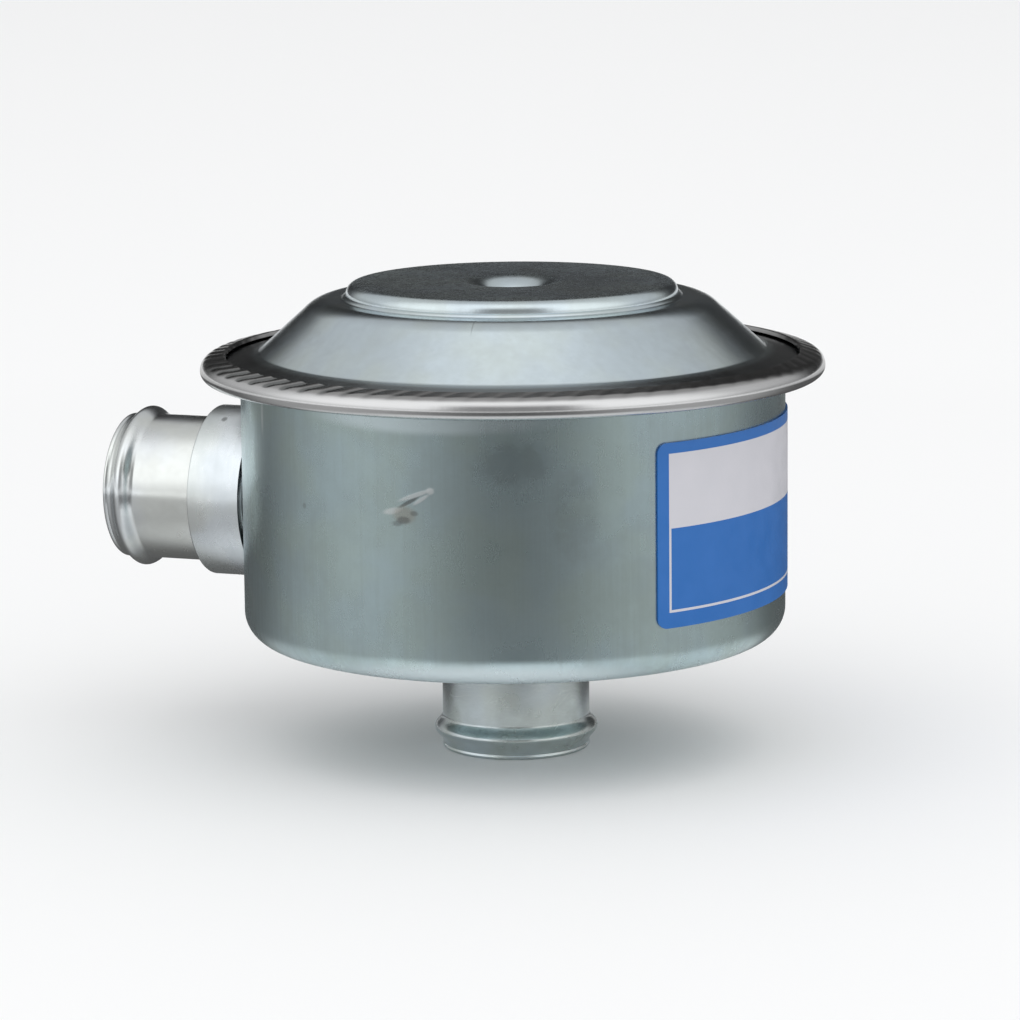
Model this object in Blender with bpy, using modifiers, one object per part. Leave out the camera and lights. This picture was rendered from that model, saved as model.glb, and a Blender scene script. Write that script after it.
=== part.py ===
"""Crankcase ventilation valve: a pressed steel can with a diaphragm that throttles its outlet.

Crankcase gas enters by the hose tube in the can's side and leaves by the tube in its floor, which
stands up inside the can as a seat. Suction at the outlet pulls the diaphragm's plates down towards
that seat, against the spring around it. The can's flange is folded over the cover's flange and
clamps the rubber between them.

Z is the can's axis and points up, the origin is the centre of the outlet's mouth, and the inlet
points along -X. Lengths are in metres.
"""

import math

import bmesh
import bpy
from mathutils import Matrix

# Sheet, rubber and the air left between neighbouring pieces
SHEET = 0.0008
RUBBER = 0.0006
PLATE = 0.0009
SEAT_GAP = 0.00025

# The can, whose floor stands clear of the outlet's mouth
CAN_RADIUS = 0.0466
CAN_DEPTH = 0.04525
CAN_FLOOR_Z = 0.0198
CAN_CORNER = 0.0050
CAN_NECK_HEIGHT = 0.0036
CAN_NECK_BEND = 0.0012

# The folded rim
FLANGE_BEND = 0.0010
RIM_OVERHANG = 0.0068
RIM_LOWER_ROUND = 0.00145
RIM_UPPER_ROUND = 0.0024
LIP_REACH = 0.0042
LIP_RISE = 0.0005
EDGE_SETBACK = 0.0022

# The cover
COVER_RISE = 0.01325
PLATEAU_RADIUS = 0.0284
PLATEAU_RISE = 0.0026
PLATEAU_EDGE = 0.0020
PLATEAU_FLARE = 0.0005
PLATEAU_FOOT_BEND = 0.0005
LEDGE_WIDTH = 0.0016
SHOULDER_ROUND = 0.0063
SHOULDER_SHARE = 0.8
CONE_FOOT_INSET = 0.0024
CONE_FOOT_BEND = 0.0010
SKIRT_RISE = 0.00163
CLAMPED_WIDTH = 0.0013
DIMPLE_RADIUS = 0.0093
DIMPLE_ROUND = 0.0070
DIMPLE_DEPTH = 0.0021
VENT_RADIUS = 0.0012

# The hose tubes
TUBE_RADIUS = 0.0127
TUBE_WALL = 0.0012
TUBE_LIP_ROUND = 0.0004
BEAD_HEIGHT = 0.0014
BEAD_HALF_WIDTH = 0.0024
BEAD_FROM_MOUTH = 0.0035
BRAZE_LEG = 0.0020

# The inlet
INLET_ABOVE_FLOOR = 0.0224
INLET_STAND_OUT = 0.0254
INLET_TAIL = 0.0035
COLLAR_WALL = 0.00195
COLLAR_STAND_OUT = 0.0084
COLLAR_LENGTH = 0.0096
COLLAR_CHAMFER = 0.0004

# The moving plates, at rest against the cover
STROKE = 0.0060
PISTON_SIDE_ROOM = 0.0026
PLATE_BEND = 0.0012
VALVE_PLATE_RADIUS = 0.0212
VALVE_PLATE_RIM_HEIGHT = 0.0032
RIVET_RADIUS = 0.0024
RIVET_HEAD_RADIUS = 0.0045
RIVET_HEAD_HEIGHT = 0.0012
RIVET_HEAD_ROOM = 0.0003
WASHER_RADIUS = 0.0060
WASHER_THICKNESS = 0.0010
CLINCH_RADIUS = 0.0038
CLINCH_HEIGHT = 0.0010
FLEX_MARGIN = 0.0008

# The spring and its seat
SPRING_WIRE = 0.0016
SPRING_TURNS = 6.5
SPRING_SIDE_GAP = 0.0004
SPRING_SEAT_RIM_HEIGHT = 0.0032

# The label, its middle turned from the side that is opposite the inlet
LABEL_LENGTH = 0.0840
LABEL_ABOVE_FLOOR = 0.0085
LABEL_BELOW_FLANGE = 0.00595
LABEL_CORNER = 0.0018
LABEL_THICKNESS = 0.0002
LABEL_TURN_DEG = 11.2

# How finely round shapes are divided
BODY_STEPS = 44
PLATE_STEPS = 28
TUBE_STEPS = 28
SMALL_STEPS = 18
SPRING_STEPS = 10
LABEL_STEPS = 30

# Heights above the can's floor
FLANGE_Z = CAN_FLOOR_Z + CAN_DEPTH
INLET_Z = CAN_FLOOR_Z + INLET_ABOVE_FLOOR
LABEL_HEIGHT = CAN_DEPTH - LABEL_ABOVE_FLOOR - LABEL_BELOW_FLANGE
LABEL_Z = CAN_FLOOR_Z + LABEL_ABOVE_FLOOR + LABEL_HEIGHT / 2

# Heights of the clamped layers in the rim, from the can's flange up
RUBBER_FLANGE_TOP = FLANGE_Z + SHEET + SEAT_GAP + RUBBER
COVER_FLANGE_TOP = RUBBER_FLANGE_TOP + SEAT_GAP + SHEET
LIP_TOP = COVER_FLANGE_TOP + SEAT_GAP + SHEET
COVER_TOP_Z = COVER_FLANGE_TOP + COVER_RISE
LEDGE_Z = COVER_TOP_Z - PLATEAU_RISE
DIMPLE_FLOOR_Z = COVER_TOP_Z - DIMPLE_DEPTH

# Heights of the moving stack, from the cover down
PISTON_TOP = COVER_TOP_Z - SHEET - SEAT_GAP
PISTON_FLOOR_TOP = DIMPLE_FLOOR_Z - SHEET - RIVET_HEAD_ROOM - RIVET_HEAD_HEIGHT - SEAT_GAP
RUBBER_TOP = PISTON_FLOOR_TOP - PLATE - SEAT_GAP
VALVE_PLATE_TOP = RUBBER_TOP - RUBBER - SEAT_GAP
VALVE_FACE_Z = VALVE_PLATE_TOP - PLATE
WASHER_TOP = VALVE_FACE_Z - SEAT_GAP
CLINCH_TOP = WASHER_TOP - WASHER_THICKNESS - SEAT_GAP
OUTLET_SEAT_Z = VALVE_FACE_Z - STROKE - SEAT_GAP

# Radii that follow from a neighbour
TUBE_CLEARANCE_RADIUS = TUBE_RADIUS + SEAT_GAP
RIVET_CLEARANCE_RADIUS = RIVET_RADIUS + SEAT_GAP
BEAD_RADIUS = TUBE_RADIUS + BEAD_HEIGHT
COLLAR_RADIUS = TUBE_CLEARANCE_RADIUS + COLLAR_WALL
RIM_RADIUS = CAN_RADIUS + RIM_OVERHANG
LIP_RADIUS = RIM_RADIUS - LIP_REACH
PISTON_RADIUS = PLATEAU_RADIUS - SHEET - PISTON_SIDE_ROOM
CONE_FOOT_RADIUS = CAN_RADIUS - SHEET - CONE_FOOT_INSET
COVER_EDGE_RADIUS = RIM_RADIUS - EDGE_SETBACK
SKIRT_RADIUS = COVER_EDGE_RADIUS - CLAMPED_WIDTH
RUBBER_EDGE_RADIUS = COVER_EDGE_RADIUS - SEAT_GAP
SPRING_RADIUS = VALVE_PLATE_RADIUS - PLATE - SPRING_SIDE_GAP - SPRING_WIRE / 2
SPRING_SEAT_RADIUS = SPRING_RADIUS + SPRING_WIRE / 2 + SPRING_SIDE_GAP + SHEET
SPRING_SEAT_BORE = TUBE_CLEARANCE_RADIUS + SHEET + SEAT_GAP
SPRING_SEAT_Z = CAN_FLOOR_Z + SHEET + SEAT_GAP

# Places along the inlet's axis, from the can's axis
INLET_REACH = CAN_RADIUS + INLET_STAND_OUT
COLLAR_OUTER_END = CAN_RADIUS + COLLAR_STAND_OUT
COLLAR_INNER_END = COLLAR_OUTER_END - COLLAR_LENGTH


def clear_scene():
    for thing in list(bpy.data.objects):
        bpy.data.objects.remove(thing)


def new_collection(name):
    collection = bpy.data.collections.new(name)
    bpy.context.scene.collection.children.link(collection)
    return collection


def material(name, colour, roughness, metallic):
    made = bpy.data.materials.new(name)
    made.use_nodes = True
    shader = made.node_tree.nodes["Principled BSDF"]
    shader.inputs["Base Color"].default_value = (*colour, 1.0)
    shader.inputs["Roughness"].default_value = roughness
    shader.inputs["Metallic"].default_value = metallic
    return made


def arc(centre, radii, start, end, count):
    """Points along an arc in the (radius, height) plane, from one angle to another in degrees."""
    points = []
    for step in range(count + 1):
        angle = math.radians(start + (end - start) * step / count)
        points.append((centre[0] + radii[0] * math.cos(angle), centre[1] + radii[1] * math.sin(angle)))
    return points


def round_arc(centre, radius, start, end, count):
    return arc(centre, (radius, radius), start, end, count)


def line_mesh(name, points, closed):
    """A mesh of edges only, standing in the XZ plane, for a Screw modifier to turn."""
    edges = [(index, index + 1) for index in range(len(points) - 1)]
    if closed:
        edges.append((len(points) - 1, 0))
    mesh = bpy.data.meshes.new(name)
    mesh.from_pydata([(radius, 0.0, height) for radius, height in points], edges, [])
    return mesh


def turned(name, points, steps, finish, closed=True):
    """A solid or a skin turned about Z from an outline that runs down its outer side."""
    made = bpy.data.objects.new(name, line_mesh(name, points, closed))
    made.data.materials.append(finish)
    valve.objects.link(made)
    screw = made.modifiers.new("turn", "SCREW")
    screw.angle = 2 * math.pi
    screw.steps = steps
    screw.render_steps = steps
    screw.use_merge_vertices = True
    screw.merge_threshold = 0.00001
    screw.use_smooth_shade = True
    return made


def pressed(name, skin, thickness, steps, finish):
    """Sheet metal or rubber: its outer skin is turned about Z, then thickened inwards."""
    made = turned(name, skin, steps, finish, closed=False)
    thicken = made.modifiers.new("thickness", "SOLIDIFY")
    thicken.thickness = thickness
    thicken.offset = -1.0
    thicken.use_even_offset = True
    return made


def cylinder_cutter(name, radius, bottom, top, steps):
    """A plain cylinder about Z that cuts its neighbour and isn't a piece itself."""
    shape = bmesh.new()
    bmesh.ops.create_cone(shape, cap_ends=True, segments=steps, radius1=radius, radius2=radius,
                          depth=top - bottom, matrix=Matrix.Translation((0, 0, (top + bottom) / 2)))
    mesh = bpy.data.meshes.new(name)
    shape.to_mesh(mesh)
    shape.free()
    cutter = bpy.data.objects.new(name, mesh)
    cutter.display_type = "WIRE"
    cutter.hide_render = True
    cutters.objects.link(cutter)
    return cutter


def cut(piece, cutter, operation="DIFFERENCE"):
    boolean = piece.modifiers.new(cutter.name, "BOOLEAN")
    boolean.operation = operation
    boolean.solver = "EXACT"
    boolean.object = cutter


def face_inlet(piece):
    """Lays a piece made about Z on the inlet's axis, with its top pointing out along -X."""
    piece.matrix_world = Matrix.Translation((0, 0, INLET_Z)) @ Matrix.Rotation(-math.pi / 2, 4, "Y")


def tangent_angle(centre, radius, point):
    """The angle on a circle from which a straight line runs on to a point outside and below it."""
    across = point[0] - centre[0]
    up = point[1] - centre[1]
    return math.degrees(math.atan2(up, across) + math.acos(radius / math.hypot(across, up)))


def foot_bend(corner, radius, above, below):
    """A hollow bend where a steep line meets a flatter one; the angles are those of their normals."""
    reach = radius * math.tan(math.radians(below - above) / 2)
    angle = math.radians(below)
    centre_across = corner[0] + reach * math.sin(angle) + radius * math.cos(angle)
    centre_up = corner[1] - reach * math.cos(angle) + radius * math.sin(angle)
    return round_arc((centre_across, centre_up), radius, 180 + above, 180 + below, 1)


def can_body(finish):
    """Drawn can: folded lip, round rim, flange, wall, corner, floor and the neck around the outlet."""
    upper_centre = (RIM_RADIUS - RIM_UPPER_ROUND, FLANGE_Z + RIM_LOWER_ROUND)
    lower_centre = (RIM_RADIUS - RIM_LOWER_ROUND, FLANGE_Z + RIM_LOWER_ROUND)
    fold_height = LIP_TOP - upper_centre[1]
    skin = [(LIP_RADIUS, LIP_TOP + LIP_RISE)]
    skin += arc(upper_centre, (RIM_UPPER_ROUND, fold_height), 90, 0, 4)
    skin += round_arc(lower_centre, RIM_LOWER_ROUND, 0, -90, 3)[1:]
    bend = (CAN_RADIUS + FLANGE_BEND, FLANGE_Z - FLANGE_BEND)
    skin += round_arc(bend, FLANGE_BEND, 90, 180, 2)
    corner = (CAN_RADIUS - CAN_CORNER, CAN_FLOOR_Z + CAN_CORNER)
    skin += round_arc(corner, CAN_CORNER, 0, -90, 3)
    neck = (TUBE_CLEARANCE_RADIUS + CAN_NECK_BEND, CAN_FLOOR_Z + CAN_NECK_BEND)
    skin += round_arc(neck, CAN_NECK_BEND, -90, -180, 2)
    skin.append((TUBE_CLEARANCE_RADIUS, CAN_FLOOR_Z + CAN_NECK_HEIGHT))
    body = pressed("can_body", skin, SHEET, BODY_STEPS, finish)
    hole = cylinder_cutter("inlet_hole", TUBE_CLEARANCE_RADIUS, CAN_RADIUS / 2, RIM_RADIUS, TUBE_STEPS)
    face_inlet(hole)
    cut(body, hole)
    return body


def cover(finish):
    """Pressed cover: vent hole, dimple, plateau, ledge, shoulder, cone, skirt and the clamped flange."""
    skin = [(VENT_RADIUS, DIMPLE_FLOOR_Z)]
    steepest = math.degrees(math.acos(1 - DIMPLE_DEPTH / DIMPLE_ROUND))
    skin += round_arc((DIMPLE_RADIUS, COVER_TOP_Z - DIMPLE_ROUND), DIMPLE_ROUND, 90 + steepest, 90, 3)
    edge = (PLATEAU_RADIUS - PLATEAU_EDGE, COVER_TOP_Z - PLATEAU_EDGE)
    skin += round_arc(edge, PLATEAU_EDGE, 90, 0, 3)
    foot = (PLATEAU_RADIUS + PLATEAU_FLARE + PLATEAU_FOOT_BEND, LEDGE_Z + PLATEAU_FOOT_BEND)
    skin += round_arc(foot, PLATEAU_FOOT_BEND, 200, 270, 1)
    ledge_end = foot[0] + LEDGE_WIDTH
    shoulder_round = min(SHOULDER_ROUND, SHOULDER_SHARE * (CONE_FOOT_RADIUS - ledge_end))
    shoulder = (ledge_end, LEDGE_Z - shoulder_round)
    cone_foot = (CONE_FOOT_RADIUS, COVER_FLANGE_TOP + SKIRT_RISE)
    slope = tangent_angle(shoulder, shoulder_round, cone_foot)
    skin += round_arc(shoulder, shoulder_round, 90, slope, 3)
    fall = math.degrees(math.atan2(SKIRT_RISE, SKIRT_RADIUS - CONE_FOOT_RADIUS))
    skin += foot_bend(cone_foot, CONE_FOOT_BEND, slope, 90 - fall)
    skin += [(SKIRT_RADIUS, COVER_FLANGE_TOP), (COVER_EDGE_RADIUS, COVER_FLANGE_TOP)]
    return pressed("cover", skin, SHEET, BODY_STEPS, finish)


def diaphragm(finish):
    """Rubber disc: flat between the plates, then one smooth roll down to the clamped flange."""
    inner = PISTON_RADIUS + FLEX_MARGIN
    outer = CAN_RADIUS - SHEET - FLEX_MARGIN
    skin = [(RIVET_CLEARANCE_RADIUS, RUBBER_TOP)]
    for step in range(6):
        share = step / 5
        eased = share * share * (3 - 2 * share)
        skin.append((inner + (outer - inner) * share, RUBBER_TOP + (RUBBER_FLANGE_TOP - RUBBER_TOP) * eased))
    skin.append((RUBBER_EDGE_RADIUS, RUBBER_FLANGE_TOP))
    return pressed("diaphragm", skin, RUBBER, BODY_STEPS, finish)


def dish_skin(rim_radius, rim_top, floor_z, bore_radius):
    """The underside of a dish with an upturned rim and a hole in its middle."""
    bend = (rim_radius - PLATE_BEND, floor_z + PLATE_BEND)
    return [(rim_radius, rim_top), *round_arc(bend, PLATE_BEND, 0, -90, 2), (bore_radius, floor_z)]


def piston_plate(finish):
    """Upper plate of the stack: its upturned rim stops against the cover."""
    skin = dish_skin(PISTON_RADIUS, PISTON_TOP, PISTON_FLOOR_TOP - PLATE, RIVET_CLEARANCE_RADIUS)
    return pressed("piston_plate", skin, PLATE, PLATE_STEPS, finish)


def valve_plate(finish):
    """Lower plate of the stack: it faces the outlet's seat and its rim holds the spring in line."""
    bend = (VALVE_PLATE_RADIUS - PLATE_BEND, VALVE_PLATE_TOP - PLATE_BEND)
    rim_bottom = (VALVE_PLATE_RADIUS, VALVE_PLATE_TOP - VALVE_PLATE_RIM_HEIGHT)
    skin = [(RIVET_CLEARANCE_RADIUS, VALVE_PLATE_TOP), *round_arc(bend, PLATE_BEND, 90, 0, 2), rim_bottom]
    return pressed("valve_plate", skin, PLATE, PLATE_STEPS, finish)


def centre_rivet(finish):
    """Rivet through both plates and the rubber, domed above and clinched over the washer below."""
    head_z = PISTON_FLOOR_TOP + SEAT_GAP
    outline = arc((0.0, head_z), (RIVET_HEAD_RADIUS, RIVET_HEAD_HEIGHT), 90, 0, 4)
    outline += [(RIVET_RADIUS, head_z), (RIVET_RADIUS, CLINCH_TOP)]
    outline += arc((0.0, CLINCH_TOP), (CLINCH_RADIUS, CLINCH_HEIGHT), 0, -90, 3)
    return turned("centre_rivet", outline, SMALL_STEPS, finish, closed=False)


def rivet_washer(finish):
    low = WASHER_TOP - WASHER_THICKNESS
    outline = [(RIVET_CLEARANCE_RADIUS, WASHER_TOP), (WASHER_RADIUS, WASHER_TOP),
               (WASHER_RADIUS, low), (RIVET_CLEARANCE_RADIUS, low)]
    return turned("rivet_washer", outline, SMALL_STEPS, finish)


def spring_height(turn, low, high):
    """Height of the wire's centre: one closed turn at each end and open turns between."""
    closed_pitch = SPRING_WIRE + SEAT_GAP
    if turn < 1:
        return low + closed_pitch * turn
    if turn > SPRING_TURNS - 1:
        return high - closed_pitch * (SPRING_TURNS - turn)
    share = (turn - 1) / (SPRING_TURNS - 2)
    return low + closed_pitch + (high - low - 2 * closed_pitch) * share


def main_spring(finish):
    """Compression spring around the outlet's standpipe, from its seat up to the valve plate."""
    low = SPRING_SEAT_Z + SHEET + SEAT_GAP + SPRING_WIRE / 2
    high = VALVE_FACE_Z - SEAT_GAP - SPRING_WIRE / 2
    count = round(SPRING_TURNS * SPRING_STEPS)
    curve = bpy.data.curves.new("main_spring", "CURVE")
    curve.dimensions = "3D"
    curve.bevel_depth = SPRING_WIRE / 2
    curve.bevel_resolution = 2
    curve.use_fill_caps = True
    spline = curve.splines.new("POLY")
    spline.points.add(count)
    for index, point in enumerate(spline.points):
        turn = index * SPRING_TURNS / count
        angle = 2 * math.pi * turn
        height = spring_height(turn, low, high)
        point.co = (SPRING_RADIUS * math.cos(angle), SPRING_RADIUS * math.sin(angle), height, 1.0)
    spring = bpy.data.objects.new("main_spring", curve)
    curve.materials.append(finish)
    valve.objects.link(spring)
    return spring


def spring_seat(finish):
    """Dished washer on the can's floor: the neck centres it and its rim keeps the spring in place."""
    rim_top = SPRING_SEAT_Z + SPRING_SEAT_RIM_HEIGHT
    skin = dish_skin(SPRING_SEAT_RADIUS, rim_top, SPRING_SEAT_Z, SPRING_SEAT_BORE)
    return pressed("spring_seat", skin, SHEET, PLATE_STEPS, finish)


def bead_swell(distance):
    """How far the tube's wall bulges at a distance from the middle of its hose bead."""
    if abs(distance) >= BEAD_HALF_WIDTH:
        return 0.0
    return (BEAD_RADIUS - TUBE_RADIUS) * (1 + math.cos(math.pi * distance / BEAD_HALF_WIDTH)) / 2


def hose_tube(name, mouth, tail, finish):
    """Steel tube about Z with its beaded mouth at one height and its plain end at another."""
    inward = 1 if tail > mouth else -1
    wall = []
    for step in range(7):
        distance = (step / 3 - 1) * BEAD_HALF_WIDTH
        wall.append((mouth + inward * (BEAD_FROM_MOUTH + distance), bead_swell(distance)))
    outer = [(TUBE_RADIUS - TUBE_LIP_ROUND, mouth), (TUBE_RADIUS, mouth + inward * TUBE_LIP_ROUND)]
    outer += [(TUBE_RADIUS + swell, height) for height, swell in wall]
    outer.append((TUBE_RADIUS, tail))
    bore = [(TUBE_RADIUS - TUBE_WALL, tail)]
    bore += [(TUBE_RADIUS - TUBE_WALL + swell, height) for height, swell in reversed(wall)]
    bore.append((TUBE_RADIUS - TUBE_WALL, mouth))
    outline = outer + bore
    if inward > 0:
        outline.reverse()
    return turned(name, outline, TUBE_STEPS, finish)


def outlet_braze(finish):
    """Fillet of braze between the can's floor and the outlet tube."""
    top = CAN_FLOOR_Z - SEAT_GAP
    outside = TUBE_CLEARANCE_RADIUS + BRAZE_LEG
    outline = [(TUBE_CLEARANCE_RADIUS, top)]
    outline += round_arc((outside, top - BRAZE_LEG), BRAZE_LEG, 90, 180, 4)
    return turned("outlet_braze", outline, TUBE_STEPS, finish)


def inlet_collar(finish):
    """Turned collar around the inlet tube: square ended, and hollowed where it meets the can."""
    outline = [(TUBE_CLEARANCE_RADIUS, COLLAR_OUTER_END),
               (COLLAR_RADIUS - COLLAR_CHAMFER, COLLAR_OUTER_END),
               (COLLAR_RADIUS, COLLAR_OUTER_END - COLLAR_CHAMFER),
               (COLLAR_RADIUS, COLLAR_INNER_END),
               (TUBE_CLEARANCE_RADIUS, COLLAR_INNER_END)]
    collar = turned("inlet_collar", outline, TUBE_STEPS, finish)
    face_inlet(collar)
    wall = cylinder_cutter("can_wall", CAN_RADIUS + SEAT_GAP, CAN_FLOOR_Z, FLANGE_Z, 2 * BODY_STEPS)
    cut(collar, wall)
    return collar


def inlet_braze(finish):
    """Fillet of braze inside the can, around the inlet tube's inner end."""
    outside = TUBE_CLEARANCE_RADIUS + BRAZE_LEG
    inner_wall = CAN_RADIUS - SHEET - SEAT_GAP
    thinnest = math.sqrt(inner_wall ** 2 - outside ** 2)
    outline = [(TUBE_CLEARANCE_RADIUS, CAN_RADIUS), (outside, CAN_RADIUS), (outside, thinnest - BRAZE_LEG / 4),
               (TUBE_CLEARANCE_RADIUS, thinnest - BRAZE_LEG)]
    fillet = turned("inlet_braze", outline, TUBE_STEPS, finish)
    face_inlet(fillet)
    inside = cylinder_cutter("can_inside", inner_wall, CAN_FLOOR_Z, FLANGE_Z, BODY_STEPS)
    cut(fillet, inside, "INTERSECT")
    return fillet


def label(finish):
    """Thin label around the can's wall, with round corners."""
    radius = CAN_RADIUS + SEAT_GAP
    shape = bmesh.new()
    bmesh.ops.create_grid(shape, x_segments=LABEL_STEPS, y_segments=1, size=1.0)
    for vertex in shape.verts:
        along = math.sin(vertex.co.x * math.pi / 2) * LABEL_LENGTH / 2
        into_corner = max(0.0, abs(along) - (LABEL_LENGTH / 2 - LABEL_CORNER))
        half_height = LABEL_HEIGHT / 2 - LABEL_CORNER
        half_height += math.sqrt(max(0.0, LABEL_CORNER ** 2 - into_corner ** 2))
        angle = math.radians(LABEL_TURN_DEG) + along / radius
        height = LABEL_Z + math.copysign(half_height, vertex.co.y)
        vertex.co = (radius * math.cos(angle), radius * math.sin(angle), height)
    mesh = bpy.data.meshes.new("label")
    shape.to_mesh(mesh)
    shape.free()
    mesh.materials.append(finish)
    mesh.shade_smooth()
    made = bpy.data.objects.new("label", mesh)
    valve.objects.link(made)
    thicken = made.modifiers.new("thickness", "SOLIDIFY")
    thicken.thickness = LABEL_THICKNESS
    thicken.offset = 1.0
    return made


clear_scene()
valve = new_collection("crankcase_ventilation_valve")
cutters = new_collection("cutters")

zinc = material("zinc_plate", (0.62, 0.66, 0.69), 0.30, 1.0)
zinc_cover = material("zinc_cover", (0.66, 0.70, 0.74), 0.22, 1.0)
tube_steel = material("tube_steel", (0.68, 0.71, 0.74), 0.26, 1.0)
collar_steel = material("collar_steel", (0.70, 0.73, 0.76), 0.38, 1.0)
plate_steel = material("plate_steel", (0.58, 0.60, 0.60), 0.35, 1.0)
rivet_steel = material("rivet_steel", (0.55, 0.56, 0.56), 0.40, 1.0)
spring_steel = material("spring_steel", (0.40, 0.41, 0.42), 0.35, 1.0)
braze_metal = material("braze_metal", (0.62, 0.58, 0.48), 0.45, 1.0)
black_rubber = material("black_rubber", (0.025, 0.025, 0.025), 0.65, 0.0)
label_film = material("label_film", (0.03, 0.16, 0.46), 0.35, 0.0)

can_body(zinc)
cover(zinc_cover)
diaphragm(black_rubber)
piston_plate(plate_steel)
valve_plate(plate_steel)
centre_rivet(rivet_steel)
rivet_washer(rivet_steel)
main_spring(spring_steel)
spring_seat(plate_steel)
hose_tube("outlet_tube", 0.0, OUTLET_SEAT_Z, tube_steel)
outlet_braze(braze_metal)
inlet_collar(collar_steel)
inlet_tail = math.sqrt((CAN_RADIUS - SHEET) ** 2 - TUBE_RADIUS ** 2) - INLET_TAIL
face_inlet(hose_tube("inlet_tube", INLET_REACH, inlet_tail, tube_steel))
inlet_braze(braze_metal)
label(label_film)
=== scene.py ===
# %% [markdown]
# # A crankcase ventilation valve in Blender
# The valve is a small drawn can of zinc plated steel. A raised cover closes it, and the can's rim is
# folded over the cover's edge. One hose tube stands out of the side and one out of the floor. This
# lesson dresses the engineering model: it keeps every size and place, and gives each visible piece a
# finer mesh and a finish. Lengths are in metres, Z is the can's axis, and the side tube points along -X.

# %% Load the engineering model
import math

import bmesh
import bpy
from mathutils import Matrix, Quaternion, Vector


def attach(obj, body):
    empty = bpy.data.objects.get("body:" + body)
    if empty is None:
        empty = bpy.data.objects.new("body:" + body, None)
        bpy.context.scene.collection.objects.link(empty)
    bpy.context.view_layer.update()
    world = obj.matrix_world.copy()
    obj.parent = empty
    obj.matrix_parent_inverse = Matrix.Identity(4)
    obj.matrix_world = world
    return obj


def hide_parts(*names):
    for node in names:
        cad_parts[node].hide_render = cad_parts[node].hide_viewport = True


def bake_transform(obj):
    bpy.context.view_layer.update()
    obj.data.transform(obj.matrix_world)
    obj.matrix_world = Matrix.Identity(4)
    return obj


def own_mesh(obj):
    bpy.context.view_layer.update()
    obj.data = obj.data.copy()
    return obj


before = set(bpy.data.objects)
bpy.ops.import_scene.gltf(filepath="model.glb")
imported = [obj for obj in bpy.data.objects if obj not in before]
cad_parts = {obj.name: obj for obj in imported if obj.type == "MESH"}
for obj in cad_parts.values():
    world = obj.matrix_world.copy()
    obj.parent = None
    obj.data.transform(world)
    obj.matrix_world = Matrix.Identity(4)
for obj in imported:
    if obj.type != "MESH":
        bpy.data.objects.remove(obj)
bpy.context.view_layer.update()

print("nodes:", ", ".join(sorted(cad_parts)))

# %% [markdown]
# ## Where the camera stands
# A long lens far from the object keeps the can's sides parallel, as in a catalogue picture. The
# camera could be aimed by eye, but here its angle and distance were worked out from the outline of
# the can, so the script places it by azimuth, elevation and distance. The small shift slides the
# picture without turning the camera, and the small roll tips it as a hand-set tripod would.

# %% The camera
CAMERA_AZIMUTH = math.radians(20.0)
CAMERA_ELEVATION = math.radians(9.88)
CAMERA_ROLL = math.radians(-0.59)
CAMERA_DISTANCE = 0.768
CAMERA_AIM = Vector((0.0, 0.0, 0.045))
LENS_MM = 157.66
FRAME_PIXELS = 1020
OFF_CENTRE_PIXELS = (3.9, 21.7)

toward_camera = Vector((
    math.sin(CAMERA_AZIMUTH) * math.cos(CAMERA_ELEVATION),
    -math.cos(CAMERA_AZIMUTH) * math.cos(CAMERA_ELEVATION),
    math.sin(CAMERA_ELEVATION),
))
lens = bpy.data.cameras.new("camera")
lens.lens = LENS_MM
lens.sensor_width = 36.0
lens.shift_x = -OFF_CENTRE_PIXELS[0] / FRAME_PIXELS
lens.shift_y = -OFF_CENTRE_PIXELS[1] / FRAME_PIXELS
camera = bpy.data.objects.new("camera", lens)
camera.location = CAMERA_AIM + CAMERA_DISTANCE * toward_camera
camera.rotation_mode = "QUATERNION"
camera.rotation_quaternion = (-toward_camera).to_track_quat("-Z", "Y") @ Quaternion((0, 0, 1), CAMERA_ROLL)
bpy.context.scene.collection.objects.link(camera)
bpy.context.scene.camera = camera
bpy.context.scene.view_settings.view_transform = "Standard"
print("camera stands at", tuple(round(part, 3) for part in camera.location))

# %% [markdown]
# ## Small helpers for materials
# A finish is a chain of shader nodes. The helpers below add one node at a time and return the
# socket that the next node needs, so that each finish further down reads like a recipe.

# %% Helpers that add shader nodes
def add_node(tree, kind, feeds=None, **settings):
    """Adds a shader node, sets its properties, and links or sets its input sockets."""
    made = tree.nodes.new("ShaderNode" + kind)
    for name, value in settings.items():
        setattr(made, name, value)
    for socket, source in (feeds or {}).items():
        if isinstance(source, bpy.types.NodeSocket):
            tree.links.new(source, made.inputs[socket])
        else:
            made.inputs[socket].default_value = source
    return made


def maths(tree, operation, first, second=0.0):
    return add_node(tree, "Math", {0: first, 1: second}, operation=operation).outputs[0]


def weighted(tree, *parts):
    """The sum of sockets, each given with its weight."""
    total = 0.0
    for socket, weight in parts:
        total = maths(tree, "ADD", maths(tree, "MULTIPLY", socket, weight), total)
    return total


def ease(tree, value, low, high, to_low=0.0, to_high=1.0):
    """Turns a value between low and high into a smooth step."""
    feeds = {"Value": value, "From Min": low, "From Max": high, "To Min": to_low, "To Max": to_high}
    return add_node(tree, "MapRange", feeds, interpolation_type="SMOOTHSTEP").outputs["Result"]


def noise(tree, place, size, detail=4.0, rough=0.55):
    """Soft noise whose blobs have the given size in metres."""
    feeds = {"Vector": place, "Scale": 1.0 / size, "Detail": detail, "Roughness": rough}
    return add_node(tree, "TexNoise", feeds).outputs["Fac"]


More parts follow.
